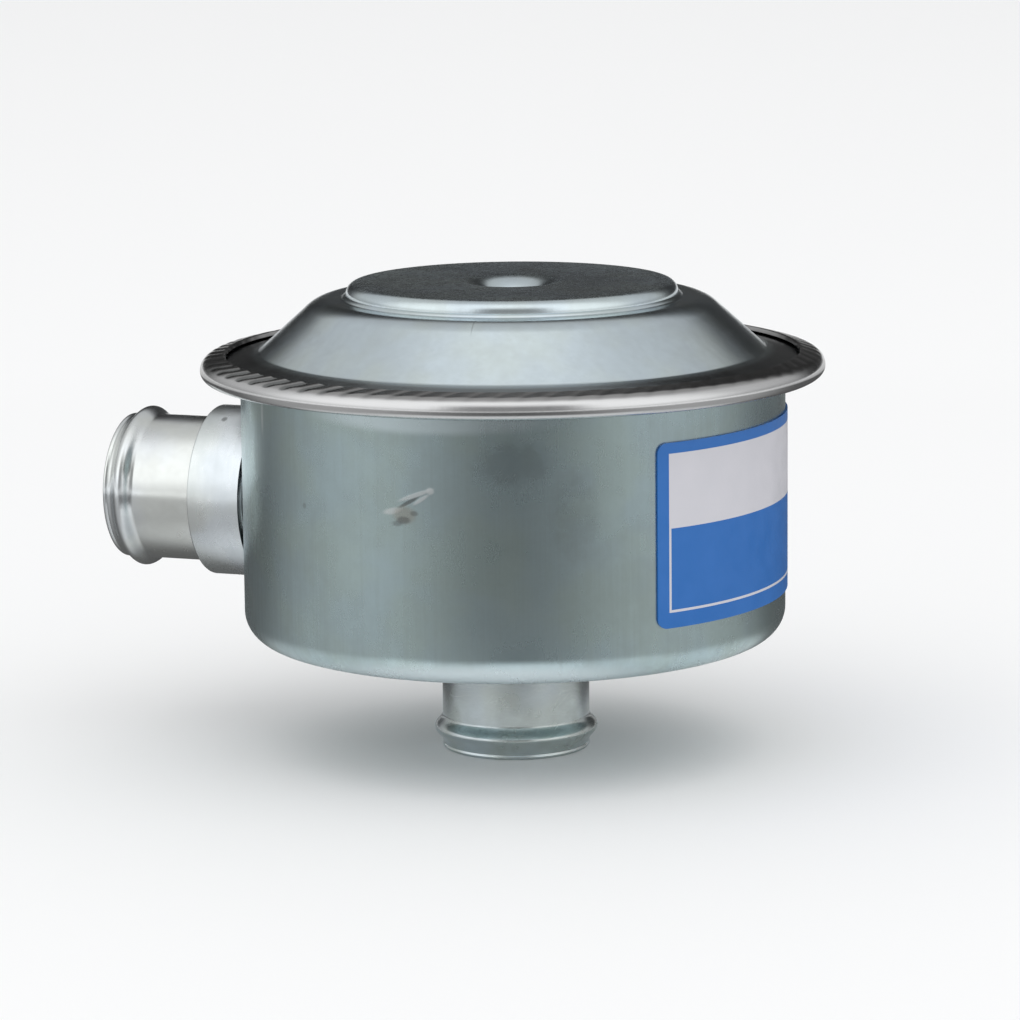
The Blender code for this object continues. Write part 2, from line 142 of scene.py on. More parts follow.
def laid_over(tree, place, at, size, turn):
    """Coordinates that are 0 at a point and 1 at the given reach along their own turned axes."""
    angles = tuple(math.radians(angle) for angle in turn)
    feeds = {"Vector": place, "Location": at, "Rotation": angles, "Scale": size}
    return add_node(tree, "Mapping", feeds, vector_type="TEXTURE").outputs[0]


def blended(tree, share, first, second):
    """Mixes two colours, each a socket or a plain (red, green, blue)."""
    mix = add_node(tree, "Mix", data_type="RGBA")
    tree.links.new(share, mix.inputs["Factor"])
    for socket, source in ((mix.inputs[6], first), (mix.inputs[7], second)):
        if isinstance(source, bpy.types.NodeSocket):
            tree.links.new(source, socket)
        else:
            socket.default_value = (*source, 1.0)
    return mix.outputs[2]


def new_finish(name):
    finish = bpy.data.materials.new(name)
    finish.use_nodes = True
    tree = finish.node_tree
    place = add_node(tree, "TexCoord").outputs["Object"]
    return finish, tree, tree.nodes["Principled BSDF"], place


def raise_surface(tree, shader, height, depth):
    """Feeds a height to the shader's normal, as fine relief of a real depth in metres."""
    bump = add_node(tree, "Bump", {"Height": height, "Distance": depth, "Strength": 1.0})
    tree.links.new(bump.outputs["Normal"], shader.inputs["Normal"])

# %% [markdown]
# ## Zinc plate
# Bright zinc is laid on the pressed steel in a bath. It is a cool, slightly cloudy metal: the plate
# is thicker in some places, so both its colour and its gloss drift over a centimetre or so, from
# bluish to faintly green. Under it are the marks of the press, which run the way the metal was
# drawn, and over it are thin handling scratches. One function makes all the zinc finishes, because
# they differ only in tone, gloss and marks.
#
# A mark is one small fault at a known place, such as a scuff, or a patch of painted light. It is an ellipsoid
# around a point, which tints the plate inside it and may sink or raise it. Two large ones are painted light: they
# brighten the can's lower corner as a painted reflection of the pale floor, and the top of its wall as painted
# light under the rim.

# %% Marks on a plated surface
# A dark tone for stains and scuffs, also used as painted shade in the lip's pleat hollows.
STAIN_AND_PAINTED_SHADE = (0.16, 0.17, 0.17)
# Pale burnished metal for scuffs, also used for a painted highlight on the wall.
BURNISH_AND_PAINTED_HIGHLIGHT = (0.88, 0.92, 0.93)


def mark(at, size, tone=STAIN_AND_PAINTED_SHADE, share=0.5, lift=0.0, turn=(0, 0, 0), ragged=0.0):
    return {"at": at, "size": size, "tone": tone, "share": share, "lift": lift, "turn": turn, "ragged": ragged}


def add_mark(tree, place, patches, colour, height, fault):
    """Returns the colour and the height with one mark added to them."""
    own_place = laid_over(tree, place, fault["at"], fault["size"], fault["turn"])
    inside = add_node(tree, "TexGradient", {"Vector": own_place}, gradient_type="SPHERICAL").outputs["Fac"]
    if fault["ragged"]:
        broken = maths(tree, "MULTIPLY", maths(tree, "SUBTRACT", patches, 0.5), 4.0 * fault["ragged"])
        inside = maths(tree, "MULTIPLY", inside, maths(tree, "ADD", broken, 1.0))
    inside = ease(tree, inside, 0.0, 0.55)
    colour = blended(tree, maths(tree, "MULTIPLY", inside, fault["share"]), colour, fault["tone"])
    return colour, weighted(tree, (height, 1.0), (inside, fault["lift"]))

# %% The zinc finish
def scratches(tree, place, turn, spacing, length, width):
    """Thin long lines: the level line of a noise that is stretched along one direction."""
    own_place = laid_over(tree, place, (0, 0, 0), (spacing, length, length), turn)
    level = maths(tree, "ABSOLUTE", maths(tree, "SUBTRACT", noise(tree, own_place, 1.0, 1.0), 0.5))
    return ease(tree, level, width, 0.0)


def tinted(colour, tint):
    return tuple(part * factor for part, factor in zip(colour, tint))


def zinc_finish(name, pale, dull, gloss, grain, cloud=0.018, relief=0.00002, worn=0.3, marks=(), zones=None):
    """Zinc over pressed steel.

    grain gives the size of the draw marks along each axis, marks are small faults and patches of
    painted light, and zones is a function that changes the colour, roughness and height where a
    whole area differs, painted shade included.
    """
    finish, tree, shader, place = new_finish(name)
    clouds = noise(tree, place, cloud, 3.0)
    patches = noise(tree, place, 0.0035, 5.0, 0.65)
    draw = noise(tree, laid_over(tree, place, (0, 0, 0), grain, (0, 0, 0)), 1.0, 4.0, 0.6)
    peel = noise(tree, place, 0.0005, 2.0)
    drift = weighted(tree, (clouds, 0.6), (patches, 0.25), (draw, 0.25))
    share = ease(tree, drift, 0.345, 0.745)
    bluish = blended(tree, share, pale, dull)
    greenish = blended(tree, share, tinted(pale, (1.02, 1.01, 0.96)), tinted(dull, (1.02, 1.01, 0.96)))
    colour = blended(tree, ease(tree, noise(tree, place, 0.013, 2.0), 0.40, 0.62), bluish, greenish)
    lines = maths(tree, "MAXIMUM",
                  scratches(tree, place, (20, 35, 10), 0.0016, 0.024, 0.010),
                  scratches(tree, place, (-25, 70, -40), 0.0021, 0.018, 0.008))
    lines = maths(tree, "MULTIPLY", lines, ease(tree, noise(tree, place, 0.006, 2.0), 0.54, 0.64))
    rough = weighted(tree, (ease(tree, drift, 0.325, 0.825, gloss - 0.05, gloss + 0.09), 1.0), (lines, 0.2 * worn))
    height = weighted(tree, (draw, 0.5), (peel, 0.25), (lines, -worn))
    for fault in marks:
        colour, height = add_mark(tree, place, patches, colour, height, fault)
    if zones:
        colour, rough, height = zones(tree, place, colour, rough, height)
    tree.links.new(colour, shader.inputs["Base Color"])
    tree.links.new(rough, shader.inputs["Roughness"])
    shader.inputs["Metallic"].default_value = 1.0
    raise_surface(tree, shader, height, relief)
    return finish

# %% [markdown]
# ## Sheet metal from one line
# A pressed part has the same thickness everywhere, so it needs only the line of its outer side. The
# Screw modifier turns that line about Z and Solidify thickens it inwards. Solid parts, such as a
# tube, are turned from a closed outline. Drawing the finished shape by hand would take longer and
# would not keep the wall even.

# %% Helpers that turn and press
SHARP_EDGE = math.radians(38.0)


def arc(centre, radii, start, end, count):
    """Points along an arc in the (radius, height) plane, from one angle to another in degrees."""
    points = []
    for step in range(count + 1):
        angle = math.radians(start + (end - start) * step / count)
        points.append((centre[0] + radii[0] * math.cos(angle), centre[1] + radii[1] * math.sin(angle)))
    return points


def round_arc(centre, radius, start, end, count):
    return arc(centre, (radius, radius), start, end, count)


def settle(piece):
    """Applies all modifiers, so that the mesh is final."""
    bpy.context.view_layer.update()
    mesh = bpy.data.meshes.new_from_object(piece.evaluated_get(bpy.context.evaluated_depsgraph_get()))
    piece.modifiers.clear()
    piece.data = mesh
    mesh.shade_smooth()
    mesh.set_sharp_from_angle(angle=SHARP_EDGE)
    return piece


def turned(name, outline, steps, finish, closed=True):
    """A solid, or an open skin, turned about Z from its outline."""
    edges = [(index, index + 1) for index in range(len(outline) - 1)]
    if closed:
        edges.append((len(outline) - 1, 0))
    mesh = bpy.data.meshes.new(name)
    mesh.from_pydata([(radius, 0.0, height) for radius, height in outline], edges, [])
    mesh.materials.append(finish)
    piece = bpy.data.objects.new(name, mesh)
    bpy.context.scene.collection.objects.link(piece)
    turn = piece.modifiers.new("turn", "SCREW")
    turn.angle = 2 * math.pi
    turn.steps = turn.render_steps = steps
    turn.use_merge_vertices = True
    turn.merge_threshold = 0.00001
    return settle(piece)


def thickened(piece, thickness):
    """Gives a turned skin its metal, inwards from the side that was drawn."""
    thicken = piece.modifiers.new("thickness", "SOLIDIFY")
    thicken.thickness = thickness
    thicken.offset = -1.0
    thicken.use_even_offset = True
    return settle(piece)


def cut_by(piece, cutter, operation="DIFFERENCE"):
    """Cuts the piece with another mesh, which is then thrown away."""
    boolean = piece.modifiers.new("cut", "BOOLEAN")
    boolean.operation = operation
    boolean.solver = "EXACT"
    boolean.object = cutter
    settle(piece)
    bpy.data.objects.remove(cutter)
    return piece


def rod(radius, low, high, steps=128):
    """A plain cylinder about Z, used only to cut."""
    outline = [(0.0, high), (radius, high), (radius, low), (0.0, low)]
    return turned("cutter", outline, steps, None, closed=False)


def laid_on_inlet(piece):
    """Lays a piece made about Z on the side tube's axis, with its top pointing out along -X."""
    piece.data.transform(Matrix.Translation((0, 0, INLET_Z)) @ Matrix.Rotation(-math.pi / 2, 4, "Y"))
    return piece


def dress(piece, slot, *nodes, body="housing"):
    """The piece stands for its nodes and rides on their body; the slot argument is not used."""
    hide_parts(*nodes)
    if body:
        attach(piece, body)
    print(piece.name, "has", len(piece.data.polygons), "faces")
    return piece

# %% [markdown]
# ## The can
# The can is drawn from one disc of 0.8 mm steel: a floor with a neck for the outlet, a round corner,
# a straight wall, a flange, and a lip that is folded back over the cover's edge. The folded rim is
# ironed by the press, so it is smoother and brighter than the wall. Folding a flange inwards leaves
# too much metal, so the lip gathers in small slanted pleats all the way round. The can is one turned
# line. The pleats are made by moving the lip's points before the sheet gets its thickness, because a
# bump would not show in the outline or in the exported mesh.

# %% Sizes of the can
SHEET = 0.0008
GAP = 0.00025
CAN_RADIUS = 0.0466
FLOOR_Z = 0.0198
CORNER = 0.0050
FLANGE_Z = 0.06505
RIM_RADIUS = 0.0534
RIM_ROUND = 0.0024
LIP_RADIUS = 0.0492
LIP_TOP = 0.0688
LIP_RISE = 0.0005
LIP_EDGE_ROUND = 0.00034
LIP_MEETS_RIM = 76
TUBE_RADIUS = 0.0127
NECK_RADIUS = TUBE_RADIUS + GAP
INLET_Z = 0.0422
PLEATS = 77
PLEAT_DEPTH = 0.00034
PLEAT_SLANT = 0.8
ROUND_STEPS = 8 * PLEATS

# %% Marks and finish of the can
RIM_TONE = (0.61, 0.615, 0.62)
# Painted shade: a dark tone for the top of the lip.
LIP_TOP_PAINTED_SHADE = (0.40, 0.40, 0.40)
# Painted reflection: a pale tone that brightens the can's lower corner.
CORNER_PAINTED_REFLECTION = (0.68, 0.77, 0.80)


def on_wall(degrees, height):
    """A point on the can's wall, by its angle about the axis."""
    angle = math.radians(degrees)
    return (CAN_RADIUS * math.cos(angle), CAN_RADIUS * math.sin(angle), height)


wall_marks = [
    # Painted reflection: the lower corner is brightened as if by the pale floor below it.
    mark(on_wall(-76, FLOOR_Z + 0.0002), (0.036, 0.036, 0.0046), CORNER_PAINTED_REFLECTION, 1.0),
    # Painted light: the top of the wall, just under the rim, is brightened.
    mark(on_wall(-88, 0.0637), (0.027, 0.014, 0.0026), (0.72, 0.84, 0.88), 0.8),
    mark(on_wall(-70, 0.0570), (0.0085, 0.0060, 0.0046), share=0.22, ragged=1.0),
    mark(on_wall(-58, 0.0480), (0.0050, 0.0050, 0.0090), share=0.14, ragged=1.0),
    mark(on_wall(-117.9, 0.0479), (0.0006, 0.0006, 0.0006), share=0.35),
    # Painted highlight: a thin light line high on the wall, near the side tube.
    mark(on_wall(-134, 0.0615), (0.0006, 0.0006, 0.0042), BURNISH_AND_PAINTED_HIGHLIGHT, 0.35),
    mark((-0.0012, -0.0466, 0.0504), (0.0026, 0.002, 0.00042), share=0.75, lift=-1.0, turn=(0, -29, 0)),
    mark((-0.0001, -0.0466, 0.0516), (0.0040, 0.002, 0.00050), BURNISH_AND_PAINTED_HIGHLIGHT, 0.6, 0.7, (0, -20, 0)),
    mark((0.0025, -0.0466, 0.0524), (0.0009, 0.002, 0.00075), BURNISH_AND_PAINTED_HIGHLIGHT, 0.6, 0.5),
    mark((0.0009, -0.0466, 0.0509), (0.0021, 0.002, 0.00042), BURNISH_AND_PAINTED_HIGHLIGHT, 0.6, 0.7, (0, -33, 0)),
    mark((-0.0042, -0.0466, 0.0488), (0.0022, 0.002, 0.00070), BURNISH_AND_PAINTED_HIGHLIGHT, 0.6, 0.3, (0, -12, 0)),
    mark((-0.0020, -0.0466, 0.0483), (0.0026, 0.002, 0.00190), (0.42, 0.38, 0.32), 0.5),
    mark((-0.0022, -0.0466, 0.0474), (0.0016, 0.002, 0.00080), share=0.6, lift=-0.3),
    mark((-0.0003, -0.0466, 0.0486), (0.0009, 0.002, 0.00055), share=0.5),
    mark((-0.0033, -0.0466, 0.0468), (0.0012, 0.002, 0.00060), share=0.45),
]


def wall_zones(tree, place, colour, rough, height):
    """The ironed rim, the lip darkened towards its top as painted shade, and painted shade in the lip's pleat
    hollows.
    """
    up = add_node(tree, "SeparateXYZ", {"Vector": place}).outputs["Z"]
    ironed = ease(tree, up, FLANGE_Z - 0.0010, FLANGE_Z - 0.0002)
    colour = blended(tree, ironed, colour, RIM_TONE)
    # Painted shade: the lip is darkened towards its top.
    colour = blended(tree, ease(tree, up, LIP_TOP - 0.0009, LIP_TOP - 0.0004), colour, LIP_TOP_PAINTED_SHADE)
    sunk = add_node(tree, "Attribute", attribute_name="sunk").outputs["Fac"]
    # Painted shade: the pleats' hollows are darkened by how deeply they are sunk.
    colour = blended(tree, ease(tree, sunk, 0.03, 0.45, 0.0, 0.8), colour, STAIN_AND_PAINTED_SHADE)
    return colour, weighted(tree, (rough, 1.0), (ironed, -0.10)), height


wall_zinc = zinc_finish("wall_zinc", (0.54, 0.68, 0.715), (0.41, 0.505, 0.52), 0.27, (0.0011, 0.0011, 0.040),
                        relief=0.000012, worn=0.08, marks=wall_marks, zones=wall_zones)

# %% The can's line, its pleats and its wall
def can_line():
    upper = (RIM_RADIUS - RIM_ROUND, FLANGE_Z + 0.00145)
    lower = (RIM_RADIUS - 0.00145, FLANGE_Z + 0.00145)
    fold = arc(upper, (RIM_ROUND, LIP_TOP - upper[1]), LIP_MEETS_RIM, 0, 12)
    edge = (LIP_RADIUS, LIP_TOP + LIP_RISE)
    line = [tuple(start + (end - start) * step / 9 for start, end in zip(edge, fold[0])) for step in range(9)]
    line += fold
    line += round_arc(lower, 0.00145, 0, -90, 8)[1:]
    line += round_arc((CAN_RADIUS + 0.0010, FLANGE_Z - 0.0010), 0.0010, 90, 180, 5)
    line += round_arc((CAN_RADIUS - CORNER, FLOOR_Z + CORNER), CORNER, 0, -90, 12)
    line += round_arc((NECK_RADIUS + 0.0012, FLOOR_Z + 0.0012), 0.0012, -90, -180, 5)
    line.append((NECK_RADIUS, FLOOR_Z + 0.0036))
    return line


def bell(degrees, middle, half_width):
    """A smooth hill round the can, 1 at its middle."""
    away = (degrees - middle + 180) % 360 - 180
    return math.exp(-(away / half_width) ** 2)


def pleat_depth(degrees, across):
    """How far the lip is sunk at an angle, at 0 (inner edge) to 1 (where the rim's round starts)."""
    place = PLEATS * degrees / 360 + PLEAT_SLANT * across
    uneven = 1 + 0.35 * math.sin(12.99 * round(place))
    strength = 0.12 + 0.88 * bell(degrees, -130, 36) + 0.16 * bell(degrees, -15, 35)
    hollow = (0.5 + 0.5 * math.cos(2 * math.pi * place)) ** 2
    outline = 0.15 * (1 - across) + 0.85 * math.sqrt(4 * across * (1 - across))
    return PLEAT_DEPTH * uneven * strength * hollow * outline


def gather_pleats(skin):
    """Sinks the lip's points, and notes how far in a mesh attribute that the finish reads."""
    fold_radius = RIM_RADIUS - 0.0006
    sunk = skin.data.attributes.new("sunk", "FLOAT", "POINT")
    for vertex in skin.data.vertices:
        radius = math.hypot(vertex.co.x, vertex.co.y)
        if vertex.co.z > LIP_TOP - 0.0015 and radius < fold_radius:
            across = min(max((radius - LIP_RADIUS) / (fold_radius - LIP_RADIUS), 0.0), 1.0)
            depth = pleat_depth(math.degrees(math.atan2(vertex.co.y, vertex.co.x)), across)
            sunk.data[vertex.index].value = depth / PLEAT_DEPTH
            vertex.co.z -= depth


def round_lip_edge(can):
    """Rounds the upper corner of the lip's cut edge, which catches a thin line of light."""
    shape = bmesh.new()
    shape.from_mesh(can.data)
    edges = [edge for edge in shape.edges
             if all(abs(corner.co.xy.length - LIP_RADIUS) < 0.00001 and corner.co.z > LIP_TOP
                    for corner in edge.verts)]
    bmesh.ops.bevel(shape, geom=edges, offset=LIP_EDGE_ROUND, segments=3, profile=0.5, affect="EDGES")
    shape.to_mesh(can.data)
    shape.free()
    print("rounded edges:", len(edges))


drawn_can = turned("drawn_can", can_line(), ROUND_STEPS, wall_zinc, closed=False)
gather_pleats(drawn_can)
thickened(drawn_can, SHEET)
round_lip_edge(drawn_can)
cut_by(drawn_can, laid_on_inlet(rod(NECK_RADIUS, CAN_RADIUS / 2, RIM_RADIUS)))
dress(drawn_can, "zinc_plate", "can_body")

# %% [markdown]
# ## The cover
# The cover is pressed in one stroke: a flat plateau with a small recess in its middle, a narrow
# ledge, a round shoulder, a cone, a flatter skirt, and an edge that goes under the folded lip. The
# cone must meet the shoulder's curve without a kink, so its slope is worked out as a tangent. The
# bend at the cone's foot is a small arc between the two slopes.

# %% The cover's line
COVER_TOP = 0.0810
COVER_EDGE_TOP = 0.06775
LEDGE_Z = 0.0784
PLATEAU_RADIUS = 0.0284
SHOULDER_ROUND = 0.0063
CONE_FOOT = (0.0434, 0.06938)
CONE_FOOT_BEND = 0.0010
SKIRT_RADIUS = 0.0499
RECESS_RADIUS = 0.0093
RECESS_ROUND = 0.0070
RECESS_DEPTH = 0.0021
VENT_RADIUS = 0.0012


def cover_line():
    line = [(VENT_RADIUS, COVER_TOP - RECESS_DEPTH), (0.0025, COVER_TOP - RECESS_DEPTH)]
    steepest = math.degrees(math.acos(1 - RECESS_DEPTH / RECESS_ROUND))
    line += round_arc((RECESS_RADIUS, COVER_TOP - RECESS_ROUND), RECESS_ROUND, 90 + steepest, 90, 14)
    line.append((0.0170, COVER_TOP))
    line += round_arc((PLATEAU_RADIUS - 0.0020, COVER_TOP - 0.0020), 0.0020, 90, 0, 12)
    foot = (PLATEAU_RADIUS + 0.0010, LEDGE_Z + 0.0005)
    line += round_arc(foot, 0.0005, 200, 270, 4)
    shoulder = (foot[0] + 0.0016, LEDGE_Z - SHOULDER_ROUND)
    across, up = CONE_FOOT[0] - shoulder[0], CONE_FOOT[1] - shoulder[1]
    slope = math.degrees(math.atan2(up, across) + math.acos(SHOULDER_ROUND / math.hypot(across, up)))
    line += round_arc(shoulder, SHOULDER_ROUND, 90, slope, 16)
    below = 90 - math.degrees(math.atan2(CONE_FOOT[1] - COVER_EDGE_TOP, SKIRT_RADIUS - CONE_FOOT[0]))
    reach = CONE_FOOT_BEND * math.tan(math.radians(below - slope) / 2)
    turn = math.radians(below)
    centre = (CONE_FOOT[0] + reach * math.sin(turn) + CONE_FOOT_BEND * math.cos(turn),
              CONE_FOOT[1] - reach * math.cos(turn) + CONE_FOOT_BEND * math.sin(turn))
    line += round_arc(centre, CONE_FOOT_BEND, 180 + slope, 180 + below, 5)
    line += [(SKIRT_RADIUS, COVER_EDGE_TOP), (RIM_RADIUS - 0.0022, COVER_EDGE_TOP)]
    return line


# %% Marks and finish of the cover
# Painted shade: a dark tone for the skirt in the groove below the cone.
SKIRT_PAINTED_SHADE = (0.20, 0.205, 0.21)

cover_marks = [
    mark((0.00524, -0.03309, 0.0776), (0.0030, 0.00014, 0.0008), share=0.30, turn=(0, 30, -81)),
    mark((-0.01735, -0.0029, COVER_TOP), (0.0005, 0.0005, 0.0005), BURNISH_AND_PAINTED_HIGHLIGHT, 0.9),
]


def cover_zones(tree, place, colour, rough, height):
    """The skirt below the cone, darkened as painted shade in the groove, and the plateau, which is rougher and
    finely speckled.
    """
    up = add_node(tree, "SeparateXYZ", {"Vector": place}).outputs["Z"]
    # Painted shade: the skirt in the groove below the cone is darkened.
    skirt = ease(tree, up, CONE_FOOT[1], CONE_FOOT[1] - 0.0005, 0.0, 0.85)
    colour = blended(tree, skirt, colour, SKIRT_PAINTED_SHADE)
    flat = ease(tree, up, COVER_TOP - 0.0004, COVER_TOP - 0.0001)
    speckle = maths(tree, "SUBTRACT", noise(tree, place, 0.0007, 3.0, 0.7), 0.5)
    rough = weighted(tree, (rough, 1.0), (flat, 0.07), (maths(tree, "MULTIPLY", flat, speckle), 0.30))
    height = weighted(tree, (height, 1.0), (maths(tree, "MULTIPLY", flat, speckle), 1.1))
    return colour, rough, height


cover_zinc = zinc_finish("cover_zinc", (0.63, 0.725, 0.785), (0.555, 0.63, 0.67), 0.19, (0.0020, 0.0020, 0.0020),
                         worn=0.10, marks=cover_marks, zones=cover_zones)
pressed_cover = thickened(turned("pressed_cover", cover_line(), 256, cover_zinc, closed=False), SHEET)
dress(pressed_cover, "zinc_cover", "cover")

# %% [markdown]
# ## The hose tubes
# Each tube is a plain steel tube with a bead rolled near its mouth, so that a hose cannot slip off.
# Tube and bead are one closed outline, turned. The bead is a smooth swell of the whole wall, as a
# rolling tool leaves it, and the tool's edge leaves a shallow groove between bead and mouth. The
# outlet tube is long: it goes up through the floor and ends as the seat that the moving plate comes
# down to.

# %% The hose tubes
TUBE_WALL = 0.0012
LIP_ROUND = 0.0004
GROOVE_DEPTH = 0.00014
BEAD_HEIGHT = 0.0014
BEAD_HALF_WIDTH = 0.0024
BEAD_FROM_MOUTH = 0.0035
OUTLET_TOP = 0.0672
INLET_MOUTH = 0.0720
INLET_TAIL_END = 0.0405


def hose_tube(name, mouth, tail, finish):
    inward = 1 if tail > mouth else -1
    groove = [(mouth + inward * from_mouth, -depth) for from_mouth, depth in
              ((0.00050, 0.0), (0.00062, GROOVE_DEPTH / 2), (0.00080, GROOVE_DEPTH), (0.00098, GROOVE_DEPTH / 2))]
    swell = []
    for step in range(25):
        share = step / 12 - 1
        swell.append((mouth + inward * (BEAD_FROM_MOUTH + share * BEAD_HALF_WIDTH),
                      BEAD_HEIGHT * (1 + math.cos(math.pi * share)) / 2))
    bore = TUBE_RADIUS - TUBE_WALL
    start, end = (0, 90) if inward < 0 else (0, -90)
    outline = round_arc((TUBE_RADIUS - LIP_ROUND, mouth + inward * LIP_ROUND), LIP_ROUND, end, start, 4)
    outline += [(TUBE_RADIUS + out, height) for height, out in groove + swell] + [(TUBE_RADIUS, tail)]
    outline += [(bore, tail)] + [(bore + out, height) for height, out in reversed(swell)] + [(bore, mouth)]
    if inward > 0:
        outline.reverse()
    return turned(name, outline, 160, finish)


outlet_marks = [mark((0.0098, -0.0081, 0.0160), (0.0003, 0.0003, 0.0020), share=0.7)]
outlet_zinc = zinc_finish("outlet_zinc", (0.58, 0.65, 0.68), (0.47, 0.52, 0.53), 0.22, (0.0033, 0.0033, 0.0033),
                          0.010, worn=0.2, marks=outlet_marks)
# Painted light: the side tube's zinc is a paler copy of the outlet tube's, brightened for the light on its top.
inlet_zinc_painted_light = zinc_finish("inlet_zinc_painted_light", (0.78, 0.82, 0.845), (0.68, 0.71, 0.725), 0.21, (0.0033, 0.0033, 0.0033),
                         0.010, worn=0.15)
dress(hose_tube("outlet_hose_tube", 0.0, OUTLET_TOP, outlet_zinc), "tube_steel", "outlet_tube")
side_tube = laid_on_inlet(hose_tube("inlet_hose_tube", INLET_MOUTH, INLET_TAIL_END, inlet_zinc_painted_light))
dress(side_tube, "tube_steel", "inlet_tube")

# %% [markdown]
# ## The collar and the braze
# A short turned collar stiffens the side tube where it enters the thin wall. Its outer end is cut
# square and its inner end is hollowed to lie on the can. Spots of braze have spread over its top,
# next to the can. The braze around the outlet is a small hollow fillet of metal that has run into
# the corner.

# %% The collar and the outlet's fillet
COLLAR_RADIUS = 0.0149
COLLAR_OUTER_END = 0.0550
COLLAR_INNER_END = 0.0454
BRAZE_LEG = 0.0020

collar_marks = [
    mark((-0.0490, -0.0050, 0.0560), (0.0048, 0.0090, 0.0035), (0.80, 0.85, 0.88), 0.8, 0.8, ragged=1.0),
    mark((-0.0512, -0.0062, 0.0556), (0.0007, 0.0009, 0.0009), share=0.7),
    mark((-0.0540, -0.0145, 0.0400), (0.0035, 0.0040, 0.0045), (0.55, 0.55, 0.53), 0.3, ragged=1.0),
]
collar_zinc = zinc_finish("collar_zinc", (0.79, 0.845, 0.89), (0.68, 0.735, 0.77), 0.27, (0.0014, 0.0083, 0.0083),
                          0.008, worn=0.2, marks=collar_marks)
braze_metal = zinc_finish("braze_metal", (0.64, 0.63, 0.58), (0.50, 0.47, 0.41), 0.42, (0.0011, 0.0011, 0.0011),
                          0.004, 0.00006)

collar_outline = [(NECK_RADIUS, COLLAR_OUTER_END)]
collar_outline += round_arc((COLLAR_RADIUS - 0.0004, COLLAR_OUTER_END - 0.0004), 0.0004, 90, 0, 4)
collar_outline += [(COLLAR_RADIUS, COLLAR_INNER_END), (NECK_RADIUS, COLLAR_INNER_END)]
inlet_sleeve = laid_on_inlet(turned("inlet_sleeve", collar_outline, 160, collar_zinc))
cut_by(inlet_sleeve, rod(CAN_RADIUS + GAP, FLOOR_Z, FLANGE_Z, 256))
dress(inlet_sleeve, "collar_steel", "inlet_collar")

fillet_top = FLOOR_Z - GAP
fillet_outline = [(NECK_RADIUS, fillet_top)]
fillet_outline += round_arc((NECK_RADIUS + BRAZE_LEG, fillet_top - BRAZE_LEG), BRAZE_LEG, 90, 180, 8)
outlet_fillet = turned("outlet_fillet", fillet_outline, 128, braze_metal)
dress(outlet_fillet, "braze_metal", "outlet_braze")

# %% [markdown]
# ## The label
# The label is a strip of printed film on the right of the wall. Its panels are left blank here: a
# blue border, a pale panel above, and a blue panel below with a thin pale line inside the border.
# The print is a material that reads the strip's own map, measured in metres along and up the film,
# so that the borders keep their width round the curve.

# %% The label's print
LABEL_LENGTH = 0.0840
LABEL_HEIGHT = 0.0308
LABEL_CORNER = 0.0018
LABEL_Z = 0.0437
LABEL_MIDDLE = math.radians(11.2)
FILM_THICKNESS = 0.00035
FILM_BLUE = (0.011, 0.135, 0.455)
FILM_PALE = (0.60, 0.60, 0.645)
END_BORDER = 0.0022
TOP_BORDER = 0.0018
PANEL_HEIGHT = 0.0124
LOW_BORDER = 0.0026
KEYLINE = 0.00042


def film_finish():
    finish, tree, shader, place = new_finish("label_film")
    film_map = add_node(tree, "UVMap", uv_map="film").outputs["UV"]
    parts = add_node(tree, "SeparateXYZ", {"Vector": film_map})
    from_end = maths(tree, "SUBTRACT", LABEL_LENGTH / 2, maths(tree, "ABSOLUTE", parts.outputs["X"]))
    up = parts.outputs["Y"]

    def inside(side, top, low):
        """1 inside a panel that stands this far in from the ends, below top and above low."""
        ends = maths(tree, "GREATER_THAN", from_end, side)
        tops = maths(tree, "LESS_THAN", up, top)
        return maths(tree, "MULTIPLY", maths(tree, "MULTIPLY", ends, tops), maths(tree, "GREATER_THAN", up, low))

    top = LABEL_HEIGHT / 2 - TOP_BORDER
    split = top - PANEL_HEIGHT
    low = -LABEL_HEIGHT / 2 + LOW_BORDER
    panel = inside(END_BORDER, top, split)
    keyline = maths(tree, "SUBTRACT", inside(END_BORDER, split + 0.0001, low),
                    inside(END_BORDER + KEYLINE, split + 0.0002, low + KEYLINE))
    pale = maths(tree, "MINIMUM", maths(tree, "ADD", panel, maths(tree, "MAXIMUM", keyline, 0.0)), 1.0)
    ink = noise(tree, place, 0.004, 4.0)
    blue = blended(tree, ink, tinted(FILM_BLUE, (0.94, 0.94, 0.94)), tinted(FILM_BLUE, (1.08, 1.08, 1.08)))
    white = blended(tree, ink, tinted(FILM_PALE, (0.97, 0.97, 0.97)), tinted(FILM_PALE, (1.03, 1.02, 1.02)))
    tree.links.new(blended(tree, pale, blue, white), shader.inputs["Base Color"])
    tree.links.new(ease(tree, ink, 0.3, 0.7, 0.30, 0.42), shader.inputs["Roughness"])
    raise_surface(tree, shader, noise(tree, place, 0.0009, 3.0), 0.000008)
    return finish

